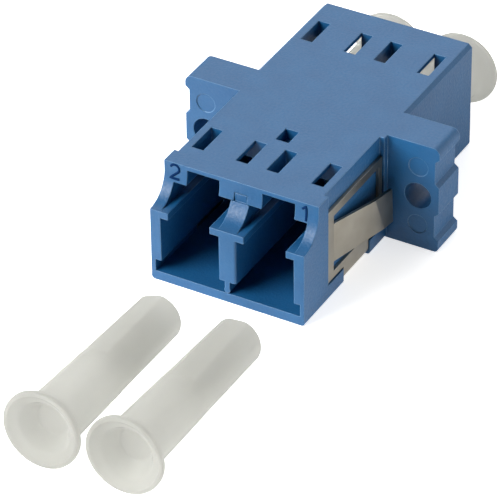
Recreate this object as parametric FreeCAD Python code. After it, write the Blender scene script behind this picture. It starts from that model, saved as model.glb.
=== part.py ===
import FreeCAD, Part
import math
import os

# Duplex fibre adapter with a panel flange, a steel panel clip and four dust caps.
# Millimetres. +X to the right, +Y towards the rear, +Z up. The origin is midway between
# the two panel holes, on the flange's front face. The ports open towards -Y and +Y.

# Moulded body
BODY_W = 12.8
BODY_H = 9.2
FRONT_LEN = 12.8            # flange front face to the front end
REAR_LEN = 10.8             # flange rear face to the rear end
SIDE_WALL = 0.85
FLOOR_WALL = 0.775
TOP_SKIN = 0.35             # skin left over a latch keyway
REAR_EDGE_CHAMFER = 0.3     # long top edges behind the flange
BOTTOM_EDGE_R = 0.25        # long bottom edges

# Flange
FLANGE_W = 21.5
FLANGE_T = 3.2
HOLE_FROM_END = 1.75        # hole's middle to the flange's end
HOLE_D = 2.2
FLANGE_TOP_R = 0.6
FLANGE_BOTTOM_R = 0.35
GRIP_FROM_EDGE = 2.2        # middle of a grip groove to the flange's top or bottom
GRIP_MOUTH = 2.5
GRIP_FLOOR = 1.9
GRIP_DEPTH = 0.35
EJECTOR_D = 1.6
EJECTOR_DEPTH = 0.06
EJECTOR_FROM_EDGE = 2.05    # middle of an ejector mark to the flange's top or bottom
ROOT_RIB_T = 0.5            # rib at the corner of flange and body
ROOT_RIB_OUT = 0.05         # how far the rib stands past the body's side
LEFT_RIB_DROP = 0.6         # the left rib stops this far under the top

# Ports
PITCH = 6.25
PORT_SIZE = 4.85
LEDGE_T = 0.575             # ledges that carry a plug's body
LEDGE_REACH = 0.65
LATCH_H = 1.4               # clear height over the ledges
KEY_W = 2.7
CATCH_LEN_FRONT = 2.4       # latch catch blocks behind the mouth
CATCH_LEN_REAR = 2.55
SLOT_W = 1.0
SLOT_LEN = 2.95
HOOD = 2.2                  # how far the floor and walls stand out in front of the top
FOOT_GROOVE_H = 1.025       # wide groove at the foot of the front bay
FOOT_GROOVE_DEPTH = 0.5

# Middle web and sleeve tubes
WEB_T = 0.8
TUBE_D = 2.6
TUBE_REACH = 3.8            # mating plane to a tube's end
SLEEVE_OD = 1.6
SLEEVE_ID = 1.25
SLEEVE_LEN = 6.8
SLEEVE_SLIT = 0.3
SLEEVE_GAP = 0.05           # round the sleeve, and at each of its ends
TUBE_LIP_D = 1.4            # lip that keeps the sleeve in
TUBE_LEAD_D = 1.9           # lead-in at the tube's mouth

# Front insert
DIVIDER_T = 1.5
DIVIDER_EDGE_R = 0.2        # upright edges at the divider's front
INSERT_GAP = 0.05
FOOT_RIB_T = 0.4
FOOT_BEAD_D = 0.5           # round bead that the foot rib ends in
TENON_W = 1.0
TENON_H = 0.6
LUG_LEN = 1.4
LUG_DROP = 0.85             # top of the snap lug under the body's top
WINDOW_W = 1.1
WINDOW_LEN = 1.6
WINDOW_FROM_FLANGE = 2.8

# Panel clip, one folded sheet
CLIP_T = 0.25
CLIP_GAP = 0.02
CLIP_RECESS = 0.35          # pocket in the body that the clip lies in
CLIP_FRONT = 9.0            # front edge ahead of the flange
CLIP_REAR = 0.6             # rear edge ahead of the flange
CLIP_TOP_DROP = 1.6         # top edge under the body's top
CLIP_LOW = 1.4              # foot of the side plates above the body's bottom
CLIP_BEND_R = 0.35          # body edge that the strap bends round
STRAP_FRONT = 6.6
STRAP_REAR = 2.7
POCKET_MARGIN = 0.12        # pocket round the clip's edges
WINDOW_FRAME_TOP = 0.7
WINDOW_FRAME_REAR = 0.5
WINDOW_FRAME_FRONT = 0.85
WINDOW_FRAME_LOW = 0.6
TONGUE_ROOT_TOP = 0.7       # tongue's top edge under the window's, at its root
TONGUE_ROOT_H = 3.35
TONGUE_END_H = 2.85
TONGUE_END_DROP = 1.1       # how far the top edge falls towards the free end
TONGUE_LEAN = 0.167         # how far out it leans for each mm of length, up to its crease
TONGUE_END_LEAN = 0.056     # the same, past the crease
CREASE_TOP = 3.2            # slanting crease: ahead of the flange at the top edge
CREASE_LOW = 2.1            # and at the low edge
TONGUE_END_GAP = 0.8        # free end ahead of the flange

# Dust caps
CAP_LEN = 16.6
CAP_HEAD_D = 5.8
CAP_RIM_T = 0.45
CAP_RIM_BEVEL = 0.12
CAP_FLARE = 2.0             # rim plane to the plain barrel
CAP_FLARE_PULL = 0.35       # the flare's curve is pulled to a point this far behind the rim
CAP_FLARE_STEPS = 3
CAP_BARREL_D = 4.26         # at the flare, from where the cap tapers evenly to its tip
CAP_TIP_D = 3.72
CAP_ROUND_LEN = 8.2         # rim plane to the flats
CAP_RING_STEP = 0.03        # step all round where the flats begin
CAP_FLATS = 3.36            # across the two flats
CAP_DISH_D = 5.2            # shallow dish in the head
CAP_DISH_DEPTH = 0.5
CAP_MOUTH_D = 3.9           # recess inside the dish
CAP_RECESS_D = 2.7
CAP_RECESS_DEPTH = 1.8
CAP_BORE_D = 2.9
CAP_BORE_DEPTH = 7.7
CAP_TIP_BEVEL = 0.12
CAP_SEAT_GAP = 0.15         # fitted cap's tip to the web

# Two caps lie loose in front: middle of the head across and ahead of the flange,
# turn about Z and roll about the cap's own axis
LOOSE_CAPS = {
    "loose_cap_left": (-1.87, 35.6, 1.2, -18.0),
    "loose_cap_right": (4.58, 35.25, 1.45, -4.0),
}

SPARE = 1.0                 # how far cutting tools run past the stock

# Worked out from the values above
HALF_W = BODY_W / 2
TOP = BODY_H / 2
BOTTOM = -BODY_H / 2
FRONT = -FRONT_LEN
REAR = FLANGE_T + REAR_LEN
MATING_Y = FLANGE_T / 2
HOLE_X = FLANGE_W / 2 - HOLE_FROM_END
PORT_LOW = BOTTOM + FLOOR_WALL
PORT_HIGH = PORT_LOW + PORT_SIZE
PORT_Z = PORT_LOW + PORT_SIZE / 2
LEDGE_TOP = PORT_HIGH + LEDGE_T
LATCH_TOP = LEDGE_TOP + LATCH_H
KEY_TOP = TOP - TOP_SKIN
PORT_X = PITCH / 2
OUTER_X = HALF_W - SIDE_WALL
LIP_FACE = FRONT + HOOD
SLOT_FRONT = LIP_FACE + CATCH_LEN_FRONT
SLOT_REAR = REAR - CATCH_LEN_REAR
WEB_REAR = MATING_Y + WEB_T
PLATE_FRONT = MATING_Y - WEB_T
POCKET_X = HALF_W - CLIP_RECESS
LEFT, RIGHT = -1, 1


def block(x0, x1, y0, y1, z0, z1):
    """Box between two corners."""
    low = FreeCAD.Vector(min(x0, x1), min(y0, y1), min(z0, z1))
    return Part.makeBox(abs(x1 - x0), abs(y1 - y0), abs(z1 - z0), low)


def rod_y(x, z, diameter, y0, y1):
    """Round bar along Y."""
    return Part.makeCylinder(diameter / 2, y1 - y0, FreeCAD.Vector(x, y0, z), FreeCAD.Vector(0, 1, 0))


def prism_y(corners, y0, y1):
    """Straight-sided bar along Y, from (x, z) corners."""
    points = [FreeCAD.Vector(x, y0, z) for x, z in corners]
    face = Part.Face(Part.makePolygon(points + points[:1]))
    return face.extrude(FreeCAD.Vector(0, y1 - y0, 0))


def prism_x(corners, x0, x1):
    """Straight-sided bar along X, from (y, z) corners."""
    points = [FreeCAD.Vector(x0, y, z) for y, z in corners]
    face = Part.Face(Part.makePolygon(points + points[:1]))
    return face.extrude(FreeCAD.Vector(x1 - x0, 0, 0))


def long_edges(shape, z):
    """Edges along Y at one height, at the widest part of the shape."""
    wide = shape.BoundBox.XMax
    found = []
    for edge in shape.Edges:
        ends = [vertex.Point for vertex in edge.Vertexes]
        level = all(abs(p.z - z) < 1e-6 and abs(abs(p.x) - wide) < 1e-6 for p in ends)
        if level and len(ends) == 2 and abs(ends[0].x - ends[1].x) < 1e-6:
            found.append(edge)
    return found


def front_uprights(shape):
    """Upright edges at the front of a shape."""
    near = shape.BoundBox.YMin
    found = []
    for edge in shape.Edges:
        start, end = (vertex.Point for vertex in edge.Vertexes)
        if max(abs(start.y - near), abs(end.y - near), abs(start.x - end.x)) < 1e-6:
            found.append(edge)
    return found


def mirrored_x(shape):
    """The same shape on the other side of the middle plane."""
    return shape.mirror(FreeCAD.Vector(0, 0, 0), FreeCAD.Vector(1, 0, 0))


def body_stock():
    """Outer block of the body with its long edges eased."""
    front = block(-HALF_W, HALF_W, FRONT, FLANGE_T / 2, BOTTOM, TOP)
    front = front.makeFillet(BOTTOM_EDGE_R, long_edges(front, BOTTOM))
    rear = block(-HALF_W, HALF_W, FLANGE_T / 2, REAR, BOTTOM, TOP)
    rear = rear.makeChamfer(REAR_EDGE_CHAMFER, long_edges(rear, TOP))
    rear = rear.makeFillet(BOTTOM_EDGE_R, long_edges(rear, BOTTOM))
    return front.fuse(rear)


def grip_groove(side, z):
    """Shallow groove with sloping ends across a flange end."""
    out = side * (FLANGE_W / 2 + SPARE)
    edge = side * FLANGE_W / 2
    deep = side * (FLANGE_W / 2 - GRIP_DEPTH)
    corners = [(out, z + GRIP_MOUTH / 2), (edge, z + GRIP_MOUTH / 2), (deep, z + GRIP_FLOOR / 2),
               (deep, z - GRIP_FLOOR / 2), (edge, z - GRIP_MOUTH / 2), (out, z - GRIP_MOUTH / 2)]
    return prism_y(corners, -SPARE, FLANGE_T + SPARE)


def flange():
    """Flange plate with eased corners, grip grooves, holes and ejector marks."""
    plate = block(-FLANGE_W / 2, FLANGE_W / 2, 0, FLANGE_T, BOTTOM, TOP)
    plate = plate.makeFillet(FLANGE_TOP_R, long_edges(plate, TOP))
    plate = plate.makeFillet(FLANGE_BOTTOM_R, long_edges(plate, BOTTOM))
    for side in (LEFT, RIGHT):
        hole_x = side * HOLE_X
        plate = plate.cut(rod_y(hole_x, 0, HOLE_D, -SPARE, FLANGE_T + SPARE))
        for way in (-1, 1):
            ejector_z = way * (TOP - EJECTOR_FROM_EDGE)
            plate = plate.cut(grip_groove(side, way * (TOP - GRIP_FROM_EDGE)))
            plate = plate.cut(rod_y(hole_x, ejector_z, EJECTOR_D, -SPARE, EJECTOR_DEPTH))
    return plate


def rounded_core():
    """Body core inside the clip's pocket, with the edges that the strap bends round."""
    core = block(-POCKET_X, POCKET_X, FRONT, 0, BOTTOM + CLIP_RECESS, TOP + SPARE)
    return core.makeFillet(CLIP_BEND_R, long_edges(core, BOTTOM + CLIP_RECESS))


def clip_pocket():
    """Stock taken off both sides and the bottom to seat the clip."""
    front = -CLIP_FRONT - POCKET_MARGIN
    low = BOTTOM + CLIP_LOW - POCKET_MARGIN
    wide = HALF_W + SPARE
    sides = block(-wide, wide, front, 0, low, TOP + SPARE)
    strap = block(-wide, wide, -STRAP_FRONT - POCKET_MARGIN, -STRAP_REAR + POCKET_MARGIN,
                  BOTTOM - SPARE, low + SPARE)
    return sides.fuse(strap).cut(rounded_core())


def root_rib(side):
    """Small upright rib in the corner of flange and body."""
    top = TOP if side == RIGHT else TOP - LEFT_RIB_DROP
    low = BOTTOM + CLIP_LOW - POCKET_MARGIN
    return block(side * POCKET_X, side * (HALF_W + ROOT_RIB_OUT), -ROOT_RIB_T, 0, low, top)


def scoop():
    """Space over the hood: a quarter-round hollow that ends at the upper front face."""
    middle_z = LEDGE_TOP + HOOD
    reach = HOOD * math.sin(math.radians(45))
    wide = HALF_W + SPARE
    start = FreeCAD.Vector(-wide, FRONT, LEDGE_TOP)
    midway = FreeCAD.Vector(-wide, FRONT + reach, middle_z - reach)
    end = FreeCAD.Vector(-wide, LIP_FACE, middle_z)
    arc = Part.Arc(start, midway, end).toShape()
    rim = [end, FreeCAD.Vector(-wide, LIP_FACE, TOP + SPARE),
           FreeCAD.Vector(-wide, FRONT - SPARE, TOP + SPARE),
           FreeCAD.Vector(-wide, FRONT - SPARE, LEDGE_TOP), start]
    face = Part.Face(Part.Wire([arc] + Part.makePolygon(rim).Edges))
    return face.extrude(FreeCAD.Vector(2 * wide, 0, 0))


def latch_openings(x, y_mouth, y_slot_near, y_slot_far):
    """Keyway and its two top slots over one port."""
    tools = [block(x - KEY_W / 2, x + KEY_W / 2, y_mouth, y_slot_far, LATCH_TOP, KEY_TOP)]
    for side in (LEFT, RIGHT):
        near = x + side * KEY_W / 2
        tools.append(block(near, near + side * SLOT_W, y_slot_near, y_slot_far,
                           LATCH_TOP, TOP + SPARE))
    return tools


def front_bay_tools():
    """Cuts that open the front bay, which both front ports share until the insert is in."""
    groove_x = OUTER_X + FOOT_GROOVE_DEPTH
    bay = block(-OUTER_X, OUTER_X, FRONT - SPARE, MATING_Y, PORT_LOW, LATCH_TOP)
    for side in (LEFT, RIGHT):
        bay = bay.cut(block(side * (OUTER_X - LEDGE_REACH), side * OUTER_X, FRONT - SPARE,
                            MATING_Y, PORT_HIGH, LEDGE_TOP))
    foot = block(-groove_x, groove_x, FRONT - SPARE, MATING_Y, PORT_LOW, PORT_LOW + FOOT_GROOVE_H)
    window_front = -WINDOW_FROM_FLANGE - WINDOW_LEN
    notch_w = TENON_W / 2 + INSERT_GAP
    notch = block(-notch_w, notch_w, FRONT, -WINDOW_FROM_FLANGE, LATCH_TOP,
                  LATCH_TOP + TENON_H + INSERT_GAP)
    window = block(-WINDOW_W / 2, WINDOW_W / 2, window_front, -WINDOW_FROM_FLANGE,
                   LATCH_TOP, TOP + SPARE)
    tools = [bay, foot, notch, window]
    for side in (LEFT, RIGHT):
        tools += latch_openings(side * PORT_X, FRONT, SLOT_FRONT, SLOT_FRONT + SLOT_LEN)
    return tools


def rear_port_tools(side):
    """Cuts that open one rear port."""
    x = side * PORT_X
    half = PORT_SIZE / 2
    neck = half - LEDGE_REACH
    end = REAR + SPARE
    tools = [block(x - half, x + half, WEB_REAR, end, PORT_LOW, PORT_HIGH),
             block(x - neck, x + neck, WEB_REAR, end, PORT_HIGH, LEDGE_TOP),
             block(x - half, x + half, WEB_REAR, end, LEDGE_TOP, LATCH_TOP)]
    return tools + latch_openings(x, end, SLOT_REAR, SLOT_REAR - SLOT_LEN)


def sleeve_tube(x, way):
    """Tube that holds half a sleeve, with a lip at its end. way is -1 to the front, 1 to the rear."""
    root = MATING_Y + way * WEB_T / 2
    tip = MATING_Y + way * TUBE_REACH
    return rod_y(x, PORT_Z, TUBE_D, min(root, tip), max(root, tip))


def sleeve_bore(x, way):
    """Bore for half a sleeve, then the lip and the tapered lead-in at the tube's mouth."""
    depth = SLEEVE_LEN / 2 + SLEEVE_GAP
    seat = MATING_Y + way * depth
    bore = rod_y(x, PORT_Z, SLEEVE_OD + 2 * SLEEVE_GAP, min(MATING_Y, seat), max(MATING_Y, seat))
    lead_in = Part.makeCone(TUBE_LIP_D / 2, TUBE_LEAD_D / 2, TUBE_REACH - depth,
                            FreeCAD.Vector(x, seat, PORT_Z), FreeCAD.Vector(0, way, 0))
    return bore.fuse(lead_in)


def housing():
    """One-piece moulded body: flange, two rear ports and the open front bay."""
    shape = body_stock().cut(clip_pocket())
    shape = shape.fuse([flange(), root_rib(LEFT), root_rib(RIGHT)])
    shape = shape.cut(front_bay_tools() + [scoop()])
    for side in (LEFT, RIGHT):
        shape = shape.cut(rear_port_tools(side))
    for side in (LEFT, RIGHT):
        shape = shape.fuse(sleeve_tube(side * PORT_X, 1))
    for side in (LEFT, RIGHT):
        shape = shape.cut(sleeve_bore(side * PORT_X, 1))
    return shape.removeSplitter()


def insert_plate():
    """Plate that slides down the front bay and closes it at the web."""
    wide = OUTER_X - INSERT_GAP
    low = PORT_LOW + INSERT_GAP
    plate = block(-wide, wide, PLATE_FRONT, MATING_Y, low, LATCH_TOP - INSERT_GAP)
    for side in (LEFT, RIGHT):
        plate = plate.cut(block(side * (OUTER_X - LEDGE_REACH - INSERT_GAP), side * (OUTER_X + SPARE),
                                PLATE_FRONT - SPARE, MATING_Y + SPARE,
                                PORT_HIGH - INSERT_GAP, LEDGE_TOP + INSERT_GAP))
    foot_x = OUTER_X + FOOT_GROOVE_DEPTH - INSERT_GAP
    foot = block(-foot_x, foot_x, PLATE_FRONT, MATING_Y, low, PORT_LOW + FOOT_GROOVE_H - INSERT_GAP)
    return plate.fuse(foot)


def insert_divider():
    """Wall between the front ports, with its ledges, foot rib, tenon and snap lug."""
    half = DIVIDER_T / 2
    ledge = half + LEDGE_REACH
    back = MATING_Y - WEB_T / 2
    low = PORT_LOW + INSERT_GAP
    foot_top = PORT_LOW + FOOT_GROOVE_H
    tenon_low = LATCH_TOP - INSERT_GAP
    wall = block(-half, half, FRONT, back, foot_top, tenon_low)
    wall = wall.makeFillet(DIVIDER_EDGE_R, front_uprights(wall))
    ledges = block(-ledge, ledge, FRONT, back, PORT_HIGH, LEDGE_TOP)
    rib = block(-FOOT_RIB_T / 2, FOOT_RIB_T / 2, FRONT, back, low + FOOT_BEAD_D / 2, foot_top)
    bead = rod_y(0, low + FOOT_BEAD_D / 2, FOOT_BEAD_D, FRONT, back)
    lug_rear = -WINDOW_FROM_FLANGE - (WINDOW_LEN - LUG_LEN) / 2
    tenon = block(-TENON_W / 2, TENON_W / 2, LIP_FACE, lug_rear, tenon_low, LATCH_TOP + TENON_H)
    lug_half = WINDOW_W / 2 - (WINDOW_LEN - LUG_LEN) / 2
    lug = block(-lug_half, lug_half, lug_rear - LUG_LEN, lug_rear, tenon_low, TOP - LUG_DROP)
    return wall.fuse([ledges, rib, bead, tenon, lug])


def front_insert():
    """Divider, plate and front sleeve tubes, moulded as one piece."""
    shape = insert_plate().fuse([insert_divider(), sleeve_tube(LEFT * PORT_X, -1),
                                 sleeve_tube(RIGHT * PORT_X, -1)])
    shape = shape.cut([sleeve_bore(LEFT * PORT_X, -1), sleeve_bore(RIGHT * PORT_X, -1), scoop()])
    return shape.removeSplitter()


def split_sleeve(x):
    """Alignment sleeve with a lengthways slit at the top."""
    y0 = MATING_Y - SLEEVE_LEN / 2
    y1 = MATING_Y + SLEEVE_LEN / 2
    ring = rod_y(x, PORT_Z, SLEEVE_OD, y0, y1).cut(rod_y(x, PORT_Z, SLEEVE_ID, y0 - SPARE, y1 + SPARE))
    slit = block(x - SLEEVE_SLIT / 2, x + SLEEVE_SLIT / 2, y0 - SPARE, y1 + SPARE,
                 PORT_Z, PORT_Z + SLEEVE_OD)
    return ring.cut(slit)


def clip_band():
    """Sheet bent round the body: two sides and the bottom, before it is trimmed."""
    inner_x = POCKET_X + CLIP_GAP
    inner_low = BOTTOM + CLIP_RECESS - CLIP_GAP
    top = TOP - CLIP_TOP_DROP
    outer_x = inner_x + CLIP_T
    outer = block(-outer_x, outer_x, -CLIP_FRONT, -CLIP_REAR, inner_low - CLIP_T, top)
    outer = outer.makeFillet(CLIP_BEND_R + CLIP_GAP + CLIP_T, long_edges(outer, inner_low - CLIP_T))
    inner = block(-inner_x, inner_x, -CLIP_FRONT - SPARE, -CLIP_REAR + SPARE, inner_low, top + SPARE)
    inner = inner.makeFillet(CLIP_BEND_R + CLIP_GAP, long_edges(inner, inner_low))
    return outer.cut(inner)


def clip_window():
    """Window in a side plate that the tongue is lanced from: front, rear, low and top."""
    top = TOP - CLIP_TOP_DROP - WINDOW_FRAME_TOP
    low = BOTTOM + CLIP_LOW + WINDOW_FRAME_LOW
    return -CLIP_FRONT + WINDOW_FRAME_FRONT, -CLIP_REAR - WINDOW_FRAME_REAR, low, top


def sheet_panel(corners):
    """Flat piece of the clip's sheet, from the corners of its inner face."""
    face = Part.Face(Part.makePolygon(corners + corners[:1]))
    return face.extrude(FreeCAD.Vector(CLIP_T, 0, 0))


def on_plane(a, b, c, y, z):
    """Point at a given y and z on the plane through three others."""
    normal = (b - a).cross(c - a)
    x = a.x - (normal.y * (y - a.y) + normal.z * (z - a.z)) / normal.x
    return FreeCAD.Vector(x, y, z)


def clip_tongue():
    """Right spring tongue: it leans out from the window's front edge, then bends at a crease."""
    root_y, _, _, window_top = clip_window()
    inner = POCKET_X + CLIP_GAP
    end_y = -TONGUE_END_GAP
    top = window_top - TONGUE_ROOT_TOP
    fall = TONGUE_END_DROP / (end_y - root_y)
    narrowing = (TONGUE_ROOT_H - TONGUE_END_H) / (end_y - root_y)

    def edge_point(y, from_top):
        z = top - fall * (y - root_y)
        if not from_top:
            z -= TONGUE_ROOT_H - narrowing * (y - root_y)
        return FreeCAD.Vector(inner + TONGUE_LEAN * (y - root_y), y, z)

    root_top, root_low = edge_point(root_y, True), edge_point(root_y, False)
    crease_top, crease_low = edge_point(-CREASE_TOP, True), edge_point(-CREASE_LOW, False)
    end_top, end_low = edge_point(end_y, True), edge_point(end_y, False)
    end_top.x = crease_top.x + TONGUE_END_LEAN * (end_y - crease_top.y)
    end_low = on_plane(crease_top, crease_low, end_top, end_y, end_low.z)
    back = FreeCAD.Vector(0, -CLIP_T, 0)
    tab = sheet_panel([root_top + back, root_top, root_low, root_low + back])
    lean = sheet_panel([root_top, crease_top, crease_low, root_low])
    end = sheet_panel([crease_top, end_top, end_low, crease_low])
    return tab.fuse([lean, end])


def panel_clip():
    """Steel clip: band, strap trimmed under the body, windows and tongues."""
    wide = HALF_W + SPARE
    low = BOTTOM + CLIP_LOW
    band = clip_band()
    ahead = block(-wide, wide, -CLIP_FRONT - SPARE, -STRAP_FRONT, BOTTOM - SPARE, low)
    behind = block(-wide, wide, -STRAP_REAR, -CLIP_REAR + SPARE, BOTTOM - SPARE, low)
    window_front, window_rear, window_low, window_top = clip_window()
    windows = block(-wide, wide, window_front, window_rear, window_low, window_top)
    band = band.cut([ahead, behind, windows])
    tongue = clip_tongue()
    return band.fuse([tongue, mirrored_x(tongue)]).removeSplitter()


def cap_radius(s):
    """Radius of the tapered barrel at a distance from the rim plane."""
    share = (s - CAP_FLARE) / (CAP_LEN - CAP_FLARE)
    return (CAP_BARREL_D + (CAP_TIP_D - CAP_BARREL_D) * share) / 2


def flare_points():
    """Corners of the flare, on a quadratic curve from the rim to the barrel."""
    start = FreeCAD.Vector(CAP_HEAD_D / 2, CAP_RIM_T, 0)
    pull = FreeCAD.Vector(cap_radius(CAP_FLARE), CAP_RIM_T + CAP_FLARE_PULL, 0)
    end = FreeCAD.Vector(cap_radius(CAP_FLARE), CAP_FLARE, 0)
    shares = [i / CAP_FLARE_STEPS for i in range(CAP_FLARE_STEPS + 1)]
    curve = [start * (1 - t) ** 2 + pull * (2 * t * (1 - t)) + end * t ** 2 for t in shares]
    return [(point.x, point.y) for point in curve]


def cap_profile():
    """Half section of a dust cap: radius across X, distance from the rim plane along Y."""
    head = CAP_HEAD_D / 2
    bore_end = CAP_LEN - CAP_BORE_DEPTH
    flats_from = CAP_ROUND_LEN + CAP_RING_STEP
    tip_s = CAP_LEN - CAP_TIP_BEVEL
    head_corners = [(0, CAP_RECESS_DEPTH), (CAP_RECESS_D / 2, CAP_RECESS_DEPTH),
                    (CAP_MOUTH_D / 2, CAP_DISH_DEPTH), (CAP_DISH_D / 2, 0),
                    (head - CAP_RIM_BEVEL, 0), (head, CAP_RIM_BEVEL)]
    shank_corners = [(cap_radius(CAP_ROUND_LEN), CAP_ROUND_LEN),
                     (cap_radius(flats_from) - CAP_RING_STEP, flats_from),
                     (cap_radius(tip_s), tip_s), (cap_radius(tip_s) - CAP_TIP_BEVEL, CAP_LEN),
                     (CAP_BORE_D / 2, CAP_LEN), (CAP_BORE_D / 2, bore_end), (0, bore_end)]
    corners = head_corners + flare_points() + shank_corners
    points = [FreeCAD.Vector(r, s, 0) for r, s in corners]
    return Part.Face(Part.makePolygon(points + points[:1]))


def dust_cap():
    """Dust cap along +Y with the middle of its rim plane at the origin, flats above and below."""
    cap = cap_profile().revolve(FreeCAD.Vector(0, 0, 0), FreeCAD.Vector(0, 1, 0), 360)
    half = CAP_FLATS / 2
    far = CAP_HEAD_D
    start = CAP_ROUND_LEN + CAP_RING_STEP
    flats = [block(-far, far, start, CAP_LEN + SPARE, side * half, side * far) for side in (-1, 1)]
    return cap.cut(flats)


def fitted_cap(side):
    """Cap pushed into a rear port, its bored tip over the sleeve tube."""
    cap = dust_cap()
    rim_y = WEB_REAR + CAP_SEAT_GAP + CAP_LEN
    cap.rotate(FreeCAD.Vector(0, 0, 0), FreeCAD.Vector(0, 0, 1), 180)
    cap.translate(FreeCAD.Vector(side * PORT_X, rim_y, PORT_Z))
    return cap


def tip_support(roll):
    """Distance from the cap's axis down to what its rolled tip rests on."""
    tip = CAP_TIP_D / 2
    corner = math.acos(CAP_FLATS / 2 / tip)
    turn = math.radians(roll) % math.pi
    turn = min(turn, math.pi - turn)
    return tip * math.cos(max(corner - turn, 0))


def loose_cap(name):
    """Cap lying on its rim and tip beside the other one, on the surface under the body."""
    x, ahead, turn, roll = LOOSE_CAPS[name]
    rim_r = CAP_HEAD_D / 2
    tilt = math.atan((rim_r - tip_support(roll)) / (CAP_LEN - CAP_RIM_T))
    height = BOTTOM + CAP_RIM_T * math.sin(tilt) + rim_r * math.cos(tilt)
    cap = dust_cap()
    home = FreeCAD.Vector(0, 0, 0)
    cap.rotate(home, FreeCAD.Vector(0, 1, 0), roll)
    cap.rotate(home, FreeCAD.Vector(1, 0, 0), -math.degrees(tilt))
    cap.rotate(home, FreeCAD.Vector(0, 0, 1), turn)
    cap.translate(FreeCAD.Vector(x, -ahead, height))
    return cap


def build():
    """Every piece of the adapter, by name."""
    pieces = {
        "housing": housing(),
        "front_insert": front_insert(),
        "sleeve_left": split_sleeve(LEFT * PORT_X),
        "sleeve_right": split_sleeve(RIGHT * PORT_X),
        "panel_clip": panel_clip(),
        "rear_cap_left": fitted_cap(LEFT),
        "rear_cap_right": fitted_cap(RIGHT),
    }
    for name in LOOSE_CAPS:
        pieces[name] = loose_cap(name)
    return pieces


def main():
    os.makedirs("parts", exist_ok=True)
    for name, shape in build().items():
        shape.exportStep("parts/" + name + ".step")
        print(name, "solids", len(shape.Solids), "volume", round(shape.Volume, 2), "valid", shape.isValid())


main()
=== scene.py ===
# %% [markdown]
# A duplex fibre coupler: a blue moulded body with two plug ports at each end, a flange for a
# patch panel, a folded steel clip and four milky dust caps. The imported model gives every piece
# at its real size, in metres. This script gives the pieces their finish, models the caps again
# as smooth turned shapes, adds the moulded port numbers, and sets up floor, light and camera.

# %% Load the frame
import math

import bmesh
import bpy
from mathutils import Matrix, Vector


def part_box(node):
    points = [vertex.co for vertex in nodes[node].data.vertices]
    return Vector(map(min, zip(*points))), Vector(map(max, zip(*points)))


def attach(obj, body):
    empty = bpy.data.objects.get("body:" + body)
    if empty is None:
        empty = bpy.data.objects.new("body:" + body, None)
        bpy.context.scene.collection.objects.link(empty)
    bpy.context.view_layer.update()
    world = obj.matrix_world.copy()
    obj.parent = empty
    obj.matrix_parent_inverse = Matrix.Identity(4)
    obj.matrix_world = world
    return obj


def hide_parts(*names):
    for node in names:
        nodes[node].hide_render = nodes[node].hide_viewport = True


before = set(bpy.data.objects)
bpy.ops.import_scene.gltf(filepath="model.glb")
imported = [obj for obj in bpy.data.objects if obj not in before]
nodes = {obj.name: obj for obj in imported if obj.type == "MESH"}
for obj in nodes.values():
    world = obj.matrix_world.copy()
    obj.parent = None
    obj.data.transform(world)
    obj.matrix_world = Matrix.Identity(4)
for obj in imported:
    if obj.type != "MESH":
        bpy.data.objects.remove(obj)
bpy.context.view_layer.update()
MM = 0.001
scene = bpy.context.scene
print("nodes:", ", ".join(sorted(nodes)))

# %% [markdown]
# Colours are written as the sRGB hex values that a paint chart or a screen shows. Blender's
# shaders work in linear light, so one function turns a hex value into linear numbers. A second
# one adds a node to a material with its settings, values and links. Written out, each node
# would take four or five lines, and the recipe would be lost among them.

# %% Colour and node helpers
def linear(hex_colour):
    """sRGB hex text such as '1B619A' as a linear RGBA tuple."""
    channels = [int(hex_colour[i:i + 2], 16) / 255 for i in (0, 2, 4)]
    spread = [c / 12.92 if c <= 0.04045 else ((c + 0.055) / 1.055) ** 2.4 for c in channels]
    return (*spread, 1.0)


def add_node(tree, kind, settings=None, values=None, links=None):
    """Adds one node: its settings, then values and links for its inputs, by name or number."""
    node = tree.nodes.new(kind)
    for name, value in (settings or {}).items():
        setattr(node, name, value)
    for name, value in (values or {}).items():
        node.inputs[name].default_value = value
    for name, output in (links or {}).items():
        tree.links.new(output, node.inputs[name])
    return node


def new_material(name):
    """Empty node material, with its tree and its output node."""
    material = bpy.data.materials.new(name)
    material.use_nodes = True
    material.node_tree.nodes.clear()
    output = add_node(material.node_tree, "ShaderNodeOutputMaterial")
    return material, material.node_tree, output


def wear_finish(piece, material):
    """Gives a piece one material."""
    piece.data.materials.clear()
    piece.data.materials.append(material)


print("middle grey 808080 is", round(linear("808080")[0], 3), "in linear light")

# %% [markdown]
# The body and the insert are moulded from a blue thermoplastic, glass-filled to stay exact. The
# mould is spark-eroded, so the skin is a fine matt: it keeps a broad pale sheen where it faces
# the light, and goes deep and saturated where it faces away. A real edge is never sharp, and a
# thin light line along each edge is what the eye reads as plastic. The mesh could be bevelled
# for it, but the imported shape is kept as it is. The Bevel node only bends the shading over
# a small radius at every edge. A second, narrower one compares its bent direction with the
# face's own and so finds the edges themselves, where a paler blue is painted on as a highlight:
# it stands for the sheen that the rounded edges catch from the lamps.

# %% Moulded blue plastic
BLUE_TONES = ("0F5383", "12598A")
MOTTLE_MM = 2.5             # the faint flow clouds of a moulding
SPARK_GRAIN_MM = 0.2        # real grain is nearer 0.03 mm, drawn coarser so that it shows
GRAIN_DEPTH_MM = 0.03
GRAIN_ROUGHNESS = (0.40, 0.54)
EDGE_RADIUS_MM = 0.12
EDGE_SAMPLES = 6
# paler blue painted along every edge as a highlight, for the sheen of rounded edges
EDGE_HIGHLIGHT_BLUE = "7FAEDA"
EDGE_HIGHLIGHT_MM = 0.08            # the painted edge highlight reaches this far from an edge
EDGE_HIGHLIGHT_SHARE = 0.5          # how much of the paler blue of the painted highlight shows right on the edge
EDGE_HIGHLIGHT_BEND = 0.85          # cosine of the bend from which it shows that much


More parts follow.
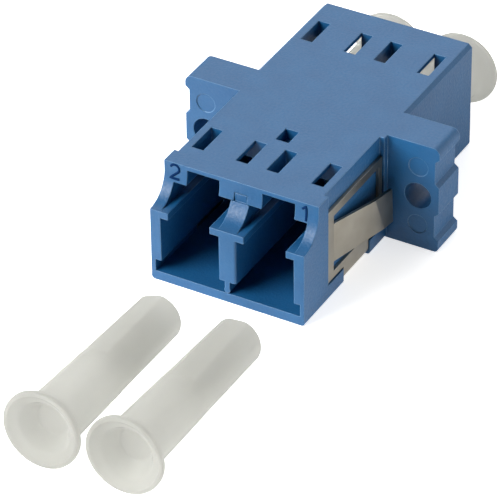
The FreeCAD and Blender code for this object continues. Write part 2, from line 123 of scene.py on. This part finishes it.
def moulded_blue():
    """Glass-filled thermoplastic with a spark-eroded skin."""
    material, tree, output = new_material("moulded_blue_plastic")
    place = add_node(tree, "ShaderNodeTexCoord")
    grain = add_node(tree, "ShaderNodeTexNoise",
                     values={"Scale": 1 / (SPARK_GRAIN_MM * MM), "Detail": 2.0},
                     links={"Vector": place.outputs["Object"]})
    mottle = add_node(tree, "ShaderNodeTexNoise",
                      values={"Scale": 1 / (MOTTLE_MM * MM), "Detail": 3.0},
                      links={"Vector": place.outputs["Object"]})
    tint = add_node(tree, "ShaderNodeValToRGB", links={"Fac": mottle.outputs["Fac"]})
    for stop, position, tone in zip(tint.color_ramp.elements, (0.3, 0.7), BLUE_TONES):
        stop.position = position
        stop.color = linear(tone)
    gloss = add_node(tree, "ShaderNodeMapRange",
                     values={"From Min": 0.3, "From Max": 0.7,
                             "To Min": GRAIN_ROUGHNESS[0], "To Max": GRAIN_ROUGHNESS[1]},
                     links={"Value": grain.outputs["Fac"]})
    edges = add_node(tree, "ShaderNodeBevel", settings={"samples": EDGE_SAMPLES},
                     values={"Radius": EDGE_RADIUS_MM * MM})
    skin = add_node(tree, "ShaderNodeBump",
                    values={"Strength": 0.8, "Distance": GRAIN_DEPTH_MM * MM},
                    links={"Height": grain.outputs["Fac"], "Normal": edges.outputs["Normal"]})
    # painted highlight: this narrower bevel finds the edges, where the paler blue is mixed in
    highlight_edges = add_node(tree, "ShaderNodeBevel", settings={"samples": EDGE_SAMPLES},
                      values={"Radius": EDGE_HIGHLIGHT_MM * MM})
    faces = add_node(tree, "ShaderNodeNewGeometry")
    bend = add_node(tree, "ShaderNodeVectorMath", settings={"operation": "DOT_PRODUCT"},
                    links={0: highlight_edges.outputs["Normal"], 1: faces.outputs["Normal"]})
    highlight_mask = add_node(tree, "ShaderNodeMapRange",
                     values={"From Min": 1.0, "From Max": EDGE_HIGHLIGHT_BEND,
                             "To Min": 0.0, "To Max": EDGE_HIGHLIGHT_SHARE},
                     links={"Value": bend.outputs["Value"]})
    # a colour mix has its two colours at inputs 6 and 7 and its result at output 2
    colour = add_node(tree, "ShaderNodeMix", settings={"data_type": "RGBA"},
                      values={7: linear(EDGE_HIGHLIGHT_BLUE)},
                      links={"Factor": highlight_mask.outputs["Result"], 6: tint.outputs["Color"]})
    shader = add_node(tree, "ShaderNodeBsdfPrincipled", values={"IOR": 1.55},
                      links={"Base Color": colour.outputs[2], "Roughness": gloss.outputs["Result"],
                             "Normal": skin.outputs["Normal"]})
    tree.links.new(shader.outputs["BSDF"], output.inputs["Surface"])
    return material


blue = moulded_blue()
for name in ("housing", "front_insert"):
    wear_finish(nodes[name], blue)
print("blue plastic on housing and front_insert")

# %% [markdown]
# The panel clip is punched and folded from thin rolled stainless strip. Rolling leaves fine
# lines along the strip and a soft, warm grey reflection. An anisotropic shader could draw that
# sheen, but it needs a direction on every face, also in the folds. Noise in the roughness does
# it more simply. The lines run round the body, so the pattern's X and Z are scaled down, which
# draws the noise out along them.

# %% Rolled stainless clip
STEEL_TONES = ("969083", "A59F93")
STAIN_MM = 1.8
ROLL_LINE_MM = 0.10         # real lines are nearer 0.02 mm, drawn coarser so that they show
ROLL_DRAWN_OUT = 0.03       # scale along the lines
ROLL_DEPTH_MM = 0.004
STEEL_ROUGHNESS = (0.28, 0.36)
PUNCHED_EDGE_MM = 0.04


def rolled_stainless():
    """Thin cold-rolled stainless strip."""
    material, tree, output = new_material("rolled_stainless_strip")
    place = add_node(tree, "ShaderNodeTexCoord")
    lines_place = add_node(tree, "ShaderNodeMapping",
                           values={"Scale": (ROLL_DRAWN_OUT, 1.0, ROLL_DRAWN_OUT)},
                           links={"Vector": place.outputs["Object"]})
    lines = add_node(tree, "ShaderNodeTexNoise",
                     values={"Scale": 1 / (ROLL_LINE_MM * MM), "Detail": 2.0},
                     links={"Vector": lines_place.outputs["Vector"]})
    stain = add_node(tree, "ShaderNodeTexNoise",
                     values={"Scale": 1 / (STAIN_MM * MM), "Detail": 2.0},
                     links={"Vector": place.outputs["Object"]})
    tone = add_node(tree, "ShaderNodeValToRGB", links={"Fac": stain.outputs["Fac"]})
    for stop, position, steel in zip(tone.color_ramp.elements, (0.3, 0.75), STEEL_TONES):
        stop.position = position
        stop.color = linear(steel)
    rough = add_node(tree, "ShaderNodeMapRange",
                     values={"To Min": STEEL_ROUGHNESS[0], "To Max": STEEL_ROUGHNESS[1]},
                     links={"Value": lines.outputs["Fac"]})
    edges = add_node(tree, "ShaderNodeBevel", settings={"samples": 4},
                     values={"Radius": PUNCHED_EDGE_MM * MM})
    relief = add_node(tree, "ShaderNodeBump",
                      values={"Strength": 0.06, "Distance": ROLL_DEPTH_MM * MM},
                      links={"Height": lines.outputs["Fac"], "Normal": edges.outputs["Normal"]})
    shader = add_node(tree, "ShaderNodeBsdfPrincipled", values={"Metallic": 1.0},
                      links={"Base Color": tone.outputs["Color"], "Roughness": rough.outputs["Result"],
                             "Normal": relief.outputs["Normal"]})
    tree.links.new(shader.outputs["BSDF"], output.inputs["Surface"])
    return material


wear_finish(nodes["panel_clip"], rolled_stainless())
print("rolled stainless on panel_clip")

# %% [markdown]
# The alignment sleeves are zirconia, a hard white ceramic that is ground to size and so has a
# glassy gloss. It lets a little light through, but only a glint of the sleeves shows deep in
# the ports, so a plain white with a high index of refraction is enough.

# %% Ground zirconia sleeves
GRIND_MM = 0.2              # real grinding marks are finer, drawn coarser so that they show


def ground_zirconia():
    """Ground white ceramic."""
    material, tree, output = new_material("ground_zirconia")
    place = add_node(tree, "ShaderNodeTexCoord")
    grind = add_node(tree, "ShaderNodeTexNoise", values={"Scale": 1 / (GRIND_MM * MM)},
                     links={"Vector": place.outputs["Object"]})
    gloss = add_node(tree, "ShaderNodeMapRange", values={"To Min": 0.12, "To Max": 0.22},
                     links={"Value": grind.outputs["Fac"]})
    shader = add_node(tree, "ShaderNodeBsdfPrincipled",
                      values={"Base Color": linear("F2F0E8"), "IOR": 2.1},
                      links={"Roughness": gloss.outputs["Result"]})
    tree.links.new(shader.outputs["BSDF"], output.inputs["Surface"])
    return material


zirconia = ground_zirconia()
for name in ("sleeve_left", "sleeve_right"):
    wear_finish(nodes[name], zirconia)
print("ground zirconia on both sleeves")

# %% [markdown]
# The dust caps are soft polyethylene, milky and translucent: light goes in, scatters and comes
# out again, so they look softly lit from inside and have almost no dark side. Clear
# transmission alone would look like glass, and scattering alone like porcelain, so both share
# the work. Most of the light passes the rough surface, the rest scatters within about the
# wall's thickness, and a little painted glow, an emission that lights the caps though they are
# no lamp, stands for what wanders through the wall further than the traced paths do.

# %% Milky polyethylene caps
CAP_TONES = ("ACACA7", "B2B2AD")
CLOUD_MM = 3.0              # size of the slightly denser patches
DIMPLE_MM = 0.5
DIMPLE_DEPTH_MM = 0.02
CAP_SCATTER_MM = 0.5
SCATTER_SHARES = (1.0, 0.95, 0.85)  # red light wanders furthest, blue least
# painted glow: the caps emit light of their own, though they are no lamp
CAP_PAINTED_GLOW = 0.2


def milky_polyethylene():
    """Soft translucent polyethylene, moulded in a smooth tool."""
    material, tree, output = new_material("milky_polyethylene")
    place = add_node(tree, "ShaderNodeTexCoord")
    cloud = add_node(tree, "ShaderNodeTexNoise",
                     values={"Scale": 1 / (CLOUD_MM * MM), "Detail": 2.0},
                     links={"Vector": place.outputs["Object"]})
    tint = add_node(tree, "ShaderNodeValToRGB", links={"Fac": cloud.outputs["Fac"]})
    for stop, position, tone in zip(tint.color_ramp.elements, (0.3, 0.7), CAP_TONES):
        stop.position = position
        stop.color = linear(tone)
    dimple = add_node(tree, "ShaderNodeTexNoise", values={"Scale": 1 / (DIMPLE_MM * MM)},
                      links={"Vector": place.outputs["Object"]})
    skin = add_node(tree, "ShaderNodeBump",
                    values={"Strength": 0.1, "Distance": DIMPLE_DEPTH_MM * MM},
                    links={"Height": dimple.outputs["Fac"]})
    # the emission below is a painted glow that stands for light wandering through the wall
    shader = add_node(tree, "ShaderNodeBsdfPrincipled",
                      values={"Roughness": 0.75, "IOR": 1.51, "Transmission Weight": 0.7,
                              "Subsurface Weight": 1.0, "Subsurface Radius": SCATTER_SHARES,
                              "Subsurface Scale": CAP_SCATTER_MM * MM,
                              "Emission Color": linear("D8D8D2"),
                              "Emission Strength": CAP_PAINTED_GLOW},
                      links={"Base Color": tint.outputs["Color"], "Normal": skin.outputs["Normal"]})
    tree.links.new(shader.outputs["BSDF"], output.inputs["Surface"])
    return material


cap_finish = milky_polyethylene()
print("milky polyethylene is ready for the caps")

# %% [markdown]
# A dust cap is a turned shape: a dished head with a rounded rim, a flare like a trumpet's, and a
# barrel that tapers evenly to its tip. Half way along, a hair-thin step marks where two flats
# begin, one above and one below. The tip has a bore that slips over the port's inner tube.
# Cylinders and cones could be joined into it, but they would meet at kinks. So the half section
# is drawn once, as points with arcs and pulled curves worked out by formula. The section is in
# millimetres, each point a radius and a distance from the rim's plane.

# %% Dust cap section
CAP_LEN = 16.8
HEAD_R = 3.03
RIM_T = 0.45                # thickness of the head at its rim
RIM_ROUND = 0.12
FLARE_END = 2.0
BARREL_R = 2.13             # at the end of the flare
TIP_R = 1.86
BARREL_RINGS = (3.5, 5.0, 6.5)
ROUND_LEN = 8.2             # the barrel is round up to here
RING_STEP = 0.03            # height and length of the step where the flats begin
TIP_RINGS = (10.5, 13.0)
TIP_ROUND = 0.12
DISH_R = 2.72
DISH_DEPTH = 0.5
MOUTH_R = 1.95              # where the dish turns down into the recess
RECESS_R = 1.35
RECESS_DEPTH = 1.8
RECESS_ROUND = 0.2
BORE_R = 1.45
BORE_DEPTH = 7.7
BORE_END = CAP_LEN - BORE_DEPTH
BORE_CONE = 0.3             # height and width of the slope at the bore's end
BORE_ROUND = 0.08


def arc(centre, radius, start_deg, end_deg, steps):
    """Points on a circle in the section's plane."""
    turns = [math.radians(start_deg + (end_deg - start_deg) * i / steps) for i in range(steps + 1)]
    return [(centre[0] + radius * math.cos(t), centre[1] + radius * math.sin(t)) for t in turns]


def pulled_curve(start, pull, end, steps):
    """Points after the start of a quadratic curve that bends towards its pull point."""
    points = []
    for i in range(1, steps + 1):
        t = i / steps
        shares = ((1 - t) ** 2, 2 * t * (1 - t), t * t)
        points.append(tuple(shares[0] * start[k] + shares[1] * pull[k] + shares[2] * end[k] for k in (0, 1)))
    return points


def taper(s):
    """Radius of the evenly tapered barrel at a distance from the rim's plane."""
    return BARREL_R + (TIP_R - BARREL_R) * (s - FLARE_END) / (CAP_LEN - FLARE_END)


def tip_taper(s):
    """The same behind the step, which is lost again towards the tip."""
    return taper(s) - RING_STEP * (CAP_LEN - s) / (CAP_LEN - ROUND_LEN)


def cap_section():
    """Half section from the recess, round the head and along the barrel, to the bore's end."""
    mouth_pull = (MOUTH_R - 0.12, DISH_DEPTH + 0.25)
    mouth_end = (MOUTH_R + 0.1, DISH_DEPTH - 0.06)
    dish_pull = (DISH_R - 0.2, DISH_DEPTH * 0.4)
    flare_pull = (taper(FLARE_END), RIM_T + 0.35)
    barrel = (*BARREL_RINGS, ROUND_LEN)
    tip = (ROUND_LEN + RING_STEP, *TIP_RINGS, CAP_LEN - TIP_ROUND)
    section = [(0.0, RECESS_DEPTH), (RECESS_R - RECESS_ROUND, RECESS_DEPTH)]
    section += arc((RECESS_R - RECESS_ROUND, RECESS_DEPTH - RECESS_ROUND), RECESS_ROUND, 90, 25, 4)
    section += pulled_curve(section[-1], mouth_pull, mouth_end, 6)
    section += pulled_curve(section[-1], dish_pull, (DISH_R, 0.0), 5)
    section += arc((HEAD_R - RIM_ROUND, RIM_ROUND), RIM_ROUND, -90, 0, 4)
    section += arc((HEAD_R - RIM_ROUND, RIM_T - RIM_ROUND), RIM_ROUND, 0, 90, 4)
    section += pulled_curve(section[-1], flare_pull, (taper(FLARE_END), FLARE_END), 12)
    section += [(taper(s), s) for s in barrel]
    section += [(tip_taper(s), s) for s in tip]
    section += arc((section[-1][0] - TIP_ROUND, CAP_LEN - TIP_ROUND), TIP_ROUND, 20, 90, 4)
    section += arc((BORE_R + BORE_ROUND, CAP_LEN - BORE_ROUND), BORE_ROUND, 90, 180, 3)
    section += [(BORE_R, BORE_END + BORE_CONE), (BORE_R - BORE_CONE, BORE_END), (0.0, BORE_END)]
    return section


print("cap section of", len(cap_section()), "points")

# %% [markdown]
# The section is spun round, as on a lathe. Faces could be listed ring by ring, but the spin
# operator makes and closes them itself. The flats come last: the tip's points are pressed in to
# the width across the flats, which leaves the bore round. Edges sharper than an angle keep a
# crisp shade, the rest is shaded smooth.

# %% Turn a dust cap
CAP_STEPS = 96              # faces round the cap
MERGE_MM = 0.001            # points closer than this become one
FLAT_HALF = 1.68            # half the width across the flats
OUTER_R = BORE_R + 0.1      # what lies outside this is the tip's outer skin
SHARP_DEG = 38


def press_flats(bm):
    """Presses the two flats of the tip, outside the bore."""
    limit = FLAT_HALF * MM
    for vert in bm.verts:
        radius = math.hypot(vert.co.x, vert.co.z)
        if vert.co.y > (ROUND_LEN + RING_STEP / 2) * MM and radius > OUTER_R * MM:
            vert.co.z = max(-limit, min(limit, vert.co.z))


def spin_cap(name):
    """One dust cap along +Y, the middle of its rim's plane at the origin."""
    bm = bmesh.new()
    verts = [bm.verts.new((r * MM, s * MM, 0)) for r, s in cap_section()]
    edges = [bm.edges.new(pair) for pair in zip(verts, verts[1:])]
    bmesh.ops.spin(bm, geom=verts + edges, cent=(0, 0, 0), axis=(0, 1, 0), angle=2 * math.pi,
                   steps=CAP_STEPS, use_merge=True)
    bmesh.ops.remove_doubles(bm, verts=bm.verts, dist=MERGE_MM * MM)
    press_flats(bm)
    bmesh.ops.recalc_face_normals(bm, faces=bm.faces)
    mesh = bpy.data.meshes.new(name)
    bm.to_mesh(mesh)
    bm.free()
    mesh.shade_smooth()
    mesh.set_sharp_from_angle(angle=math.radians(SHARP_DEG))
    piece = bpy.data.objects.new(name, mesh)
    scene.collection.objects.link(piece)
    return piece


# %% [markdown]
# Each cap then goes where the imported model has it. The fitted ones are turned half round, so
# that their tips point into the ports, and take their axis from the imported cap's box. The loose
# ones could be dropped by a physics run, but they rest on two points only, rim and tip. The
# axis leans by the angle that brings both down to the surface.

# %% Place the four caps
FLOOR_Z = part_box("housing")[0].z / MM
RIM_SHIFT = 0.1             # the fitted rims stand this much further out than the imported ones
# x, distance ahead of the flange's front face, turn seen from above, roll about its own axis
LOOSE = {"loose_cap_left": (-1.87, 35.6, 1.2, -18.0), "loose_cap_right": (4.58, 35.25, 1.45, -4.0)}


def tip_support(roll):
    """Distance from a cap's axis down to where its rolled tip rests, on a flat's edge or its round."""
    corner = math.acos(FLAT_HALF / TIP_R)
    turn = math.radians(roll) % math.pi
    turn = min(turn, math.pi - turn)
    return TIP_R * math.cos(max(corner - turn, 0))


def loose_place(x, ahead, turn, roll):
    """Placement of a cap that rests on its rim and its tip."""
    tilt = math.atan((HEAD_R - tip_support(roll)) / (CAP_LEN - RIM_T))
    height = FLOOR_Z + RIM_T * math.sin(tilt) + HEAD_R * math.cos(tilt)
    spot = Matrix.Translation(Vector((x, -ahead, height)) * MM)
    return (spot @ Matrix.Rotation(math.radians(turn), 4, "Z") @ Matrix.Rotation(-tilt, 4, "X")
            @ Matrix.Rotation(math.radians(roll), 4, "Y"))


def fitted_place(node):
    """Placement of a cap in a rear port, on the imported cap's axis and clear of the web."""
    low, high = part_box(node)
    rim = Vector(((low.x + high.x) / 2, high.y + RIM_SHIFT * MM, (low.z + high.z) / 2))
    return Matrix.Translation(rim) @ Matrix.Rotation(math.pi, 4, "Z")


places = {node: fitted_place(node) for node in ("rear_cap_left", "rear_cap_right")}
places.update({node: loose_place(*values) for node, values in LOOSE.items()})
for node, place in places.items():
    cap = spin_cap(node + "_moulding")
    cap.data.transform(place)
    wear_finish(cap, cap_finish)
    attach(cap, node if node.startswith("rear") else "coupler")
    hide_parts(node)

# %% [markdown]
# The port mouths carry a moulded mark. Here they are plain numbers, a little proud of the face
# and darker: their dark, dull blue is painted shade, which stands for the small shadows of the
# moulded strokes. Blender's text could be extruded for them, but its 1 is a plain bar, and flat
# letters don't follow the face, which curves forward under them into the hollow over the hood.
# So each number is one bead drawn along a line of points, and every point is moved onto that
# curve.

# %% Port numbers
BEAD_R = 0.12
BEAD_SUNK = 0.05            # the bead's middle lies this deep in the face
BEAD_STEPS = 6              # pieces that each stretch of a line is cut into
FRONT_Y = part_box("housing")[0].y / MM
HOLLOW_R = 2.2              # the hollow's middle lies in the plane of the front
HOLLOW_Z = 3.8              # and at this height
STROKES = {
    "1": [(-0.25, 0.33), (0.08, 0.6), (0.08, -0.6)],
    "2": arc((0.0, 0.24), 0.36, 160, -40, 12) + [(-0.38, -0.6), (0.38, -0.6)],
}
NUMBER_PLACES = {"2": (-5.5, 3.85), "1": (5.32, 3.72)}  # x and z of each number's middle


def number_shade():
    """The same plastic with the bead's small shadows worked into one dark, dull tone."""
    material, tree, output = new_material("moulded_number_shade")
    shader = add_node(tree, "ShaderNodeBsdfPrincipled",
                      values={"Base Color": linear("062A55"), "Roughness": 0.9,
                              "Specular IOR Level": 0.1})
    tree.links.new(shader.outputs["BSDF"], output.inputs["Surface"])
    return material


def face_y(z):
    """Y of the upper front face: flat above, a quarter round below."""
    drop = max(HOLLOW_Z - z, 0.0)
    return FRONT_Y + math.sqrt(HOLLOW_R ** 2 - drop ** 2)


def finer(points):
    """The same line of points with each stretch cut into equal steps."""
    cut = [points[0]]
    for (x0, z0), (x1, z1) in zip(points, points[1:]):
        shares = [i / BEAD_STEPS for i in range(1, BEAD_STEPS + 1)]
        cut += [(x0 + (x1 - x0) * t, z0 + (z1 - z0) * t) for t in shares]
    return cut


def port_number(text, x, z, material):
    """A number on the upper front face, read from the front."""
    name = "port_number_" + text
    curve = bpy.data.curves.new(name, "CURVE")
    curve.dimensions = "3D"
    curve.bevel_depth = BEAD_R * MM
    curve.bevel_resolution = 2
    curve.use_fill_caps = True
    points = [(x + dx, z + dz) for dx, dz in finer(STROKES[text])]
    line = curve.splines.new("POLY")
    line.points.add(len(points) - 1)
    for spot, (px, pz) in zip(line.points, points):
        spot.co = (px * MM, (face_y(pz) + BEAD_SUNK) * MM, pz * MM, 1)
    maker = bpy.data.objects.new("number_maker", curve)
    scene.collection.objects.link(maker)
    mesh = bpy.data.meshes.new_from_object(maker.evaluated_get(bpy.context.evaluated_depsgraph_get()))
    bpy.data.objects.remove(maker)
    mesh.shade_smooth()
    piece = bpy.data.objects.new(name, mesh)
    scene.collection.objects.link(piece)
    wear_finish(piece, material)
    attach(piece, "coupler")


number_painted_shade = number_shade()
for text, (x, z) in NUMBER_PLACES.items():
    port_number(text, x, z, number_painted_shade)
print("port numbers moulded:", ", ".join(NUMBER_PLACES))

# %% [markdown]
# The photo has a plain white ground, which throws soft light up at the coupler. A lit white
# sheet alone would come out grey at its far side, so the floor also glows: the camera sees
# enough of it to bring the ground to white, and the object gets its own share from below. That
# share is strong at the front left and weak at the rear right, where the photo's walls are
# deep blue, and it fades out where the loose caps lie, so that their heads don't burn out. The
# paint under the glow still takes the shadow.

# %% White floor
FLOOR_HALF_M = 1.5
FLOOR_GAP = 0.01            # the sheet lies this far below what stands on it
FLOOR_PAINT = (0.9, 0.9, 0.9, 1.0)
FLOOR_SEEN = 0.7            # glow that the camera sees
GLOW_TOWARDS = (-0.5, -0.87, 0.0)  # the front left
GLOW_FRONT = 0.85           # glow that lights the object from the front left
GLOW_REAR = 0.1             # and from the rear right
GLOW_RAMP_MM = 25.0         # half the width of the change from one to the other
GLOW_FADE_MM = (22.0, 42.0)  # between these, towards the front left, it fades to nothing


def white_floor():
    """White paint that takes shadows, with a glow that depends on who looks and where."""
    material, tree, output = new_material("white_floor")
    rays = add_node(tree, "ShaderNodeLightPath")
    place = add_node(tree, "ShaderNodeTexCoord")
    towards = add_node(tree, "ShaderNodeVectorMath", settings={"operation": "DOT_PRODUCT"},
                       values={1: GLOW_TOWARDS}, links={0: place.outputs["Object"]})
    sent = add_node(tree, "ShaderNodeMapRange", settings={"interpolation_type": "SMOOTHSTEP"},
                    values={"From Min": -GLOW_RAMP_MM * MM, "From Max": GLOW_RAMP_MM * MM,
                            "To Min": GLOW_REAR, "To Max": GLOW_FRONT},
                    links={"Value": towards.outputs["Value"]})
    near = add_node(tree, "ShaderNodeMapRange", settings={"interpolation_type": "SMOOTHSTEP"},
                    values={"From Min": GLOW_FADE_MM[0] * MM, "From Max": GLOW_FADE_MM[1] * MM,
                            "To Min": 1.0, "To Max": 0.0},
                    links={"Value": towards.outputs["Value"]})
    kept = add_node(tree, "ShaderNodeMath", settings={"operation": "MULTIPLY"},
                    links={0: sent.outputs["Result"], 1: near.outputs["Result"]})
    glow = add_node(tree, "ShaderNodeMix", values={"B": FLOOR_SEEN},
                    links={"Factor": rays.outputs["Is Camera Ray"], "A": kept.outputs["Value"]})
    shine = add_node(tree, "ShaderNodeEmission", links={"Strength": glow.outputs["Result"]})
    paint = add_node(tree, "ShaderNodeBsdfDiffuse", values={"Color": FLOOR_PAINT})
    lit = add_node(tree, "ShaderNodeAddShader",
                   links={0: paint.outputs["BSDF"], 1: shine.outputs["Emission"]})
    tree.links.new(lit.outputs["Shader"], output.inputs["Surface"])
    return material


def floor_sheet():
    """One large square, which stays out of the exported piece."""
    bm = bmesh.new()
    bmesh.ops.create_grid(bm, x_segments=1, y_segments=1, size=FLOOR_HALF_M)
    mesh = bpy.data.meshes.new("floor")
    bm.to_mesh(mesh)
    bm.free()
    mesh.transform(Matrix.Translation((0, 0, (FLOOR_Z - FLOOR_GAP) * MM)))
    mesh.materials.append(white_floor())
    floor = bpy.data.objects.new("floor", mesh)
    scene.collection.objects.link(floor)


floor_sheet()
print("floor at z", round(FLOOR_Z - FLOOR_GAP, 2), "mm")

# %% [markdown]
# The light is even and soft. One sun would draw hard shadows, so large square lamps stand round
# the coupler. The main one, in front and to the left, lights the open face. One behind and to
# the left gives the top its pale sheen. Low ones on both sides reach under the flange and onto
# the clip, and a weak one behind and to the right lifts the rear walls. The world round them is
# nearly dark for the object and pure white for the camera.

# %% Soft light
# azimuth, elevation, distance and size of each soft box, and its power
SOFTBOXES = {
    "panel_back_left": (205, 42, 0.45, 0.45, 1.3),
    "panel_front_left": (-40, 35, 0.45, 0.30, 2.85),
    "panel_left_low": (-48, 8, 0.45, 0.30, 0.6),
    "panel_right_low": (110, 12, 0.45, 0.30, 0.85),
    "panel_back_right": (150, 25, 0.45, 0.30, 0.3),
}
WORLD_FILL = 0.02
WORLD_SEEN = 1.0


def direction(azimuth, elevation):
    """Unit vector outwards from the coupler: azimuth 0 is its front and 90 its right, in degrees."""
    turn, lift = math.radians(azimuth), math.radians(elevation)
    return Vector((math.sin(turn) * math.cos(lift), -math.cos(turn) * math.cos(lift), math.sin(lift)))


def softbox(name, azimuth, elevation, distance, size, power):
    """Square area lamp aimed at the coupler, in metres and watts."""
    lamp = bpy.data.lights.new(name, "AREA")
    lamp.size = size
    lamp.energy = power
    spot = direction(azimuth, elevation) * distance
    holder = bpy.data.objects.new(name, lamp)
    holder.location = spot
    holder.rotation_euler = (-spot).to_track_quat("-Z", "Y").to_euler()
    scene.collection.objects.link(holder)


def white_world():
    """A world that the camera sees as white and that lights the object only faintly."""
    world = bpy.data.worlds.new("studio")
    world.use_nodes = True
    world.node_tree.nodes.clear()
    tree = world.node_tree
    rays = add_node(tree, "ShaderNodeLightPath")
    fill = add_node(tree, "ShaderNodeBackground", values={"Strength": WORLD_FILL})
    seen = add_node(tree, "ShaderNodeBackground", values={"Strength": WORLD_SEEN})
    mix = add_node(tree, "ShaderNodeMixShader",
                   links={"Fac": rays.outputs["Is Camera Ray"], 1: fill.outputs["Background"],
                          2: seen.outputs["Background"]})
    output = add_node(tree, "ShaderNodeOutputWorld")
    tree.links.new(mix.outputs["Shader"], output.inputs["Surface"])
    scene.world = world


white_world()
for name, values in SOFTBOXES.items():
    softbox(name, *values)
scene.view_settings.view_transform = "Standard"
print("soft boxes:", ", ".join(SOFTBOXES))

# %% [markdown]
# The camera could be set by eye, but the coupler's corners would then drift from the photo's.
# It was found by matching them: a long lens, about 28 cm away, 30 degrees round to the right
# and 36 degrees up, with a trace of roll.

# %% Camera
AZIMUTH, ELEVATION, ROLL = 29.58, 35.57, -0.72
AIM = Vector((1.45, -11.92, 0.0))  # the point in the middle of the picture
DISTANCE = 280.7
LENS = 278.7
SENSOR = 36                 # width of the film behind the lens
NEAREST_M = 0.01            # the camera sees from here on


def photo_camera():
    """The photo's camera, aimed, rolled and placed by its matched values."""
    roll = math.radians(ROLL)
    back = direction(AZIMUTH, ELEVATION)
    level = (-back).cross(Vector((0, 0, 1))).normalized()
    rise = level.cross(-back)
    right = level * math.cos(roll) + rise * math.sin(roll)
    up = rise * math.cos(roll) - level * math.sin(roll)
    data = bpy.data.cameras.new("camera")
    data.lens = LENS
    data.sensor_width = SENSOR
    data.clip_start = NEAREST_M
    camera = bpy.data.objects.new("camera", data)
    turned = Matrix((right, up, back)).transposed().to_4x4()
    camera.matrix_world = Matrix.Translation((AIM + back * DISTANCE) * MM) @ turned
    scene.collection.objects.link(camera)
    scene.camera = camera


photo_camera()
print("camera", DISTANCE, "mm away with a lens of", LENS, "mm")
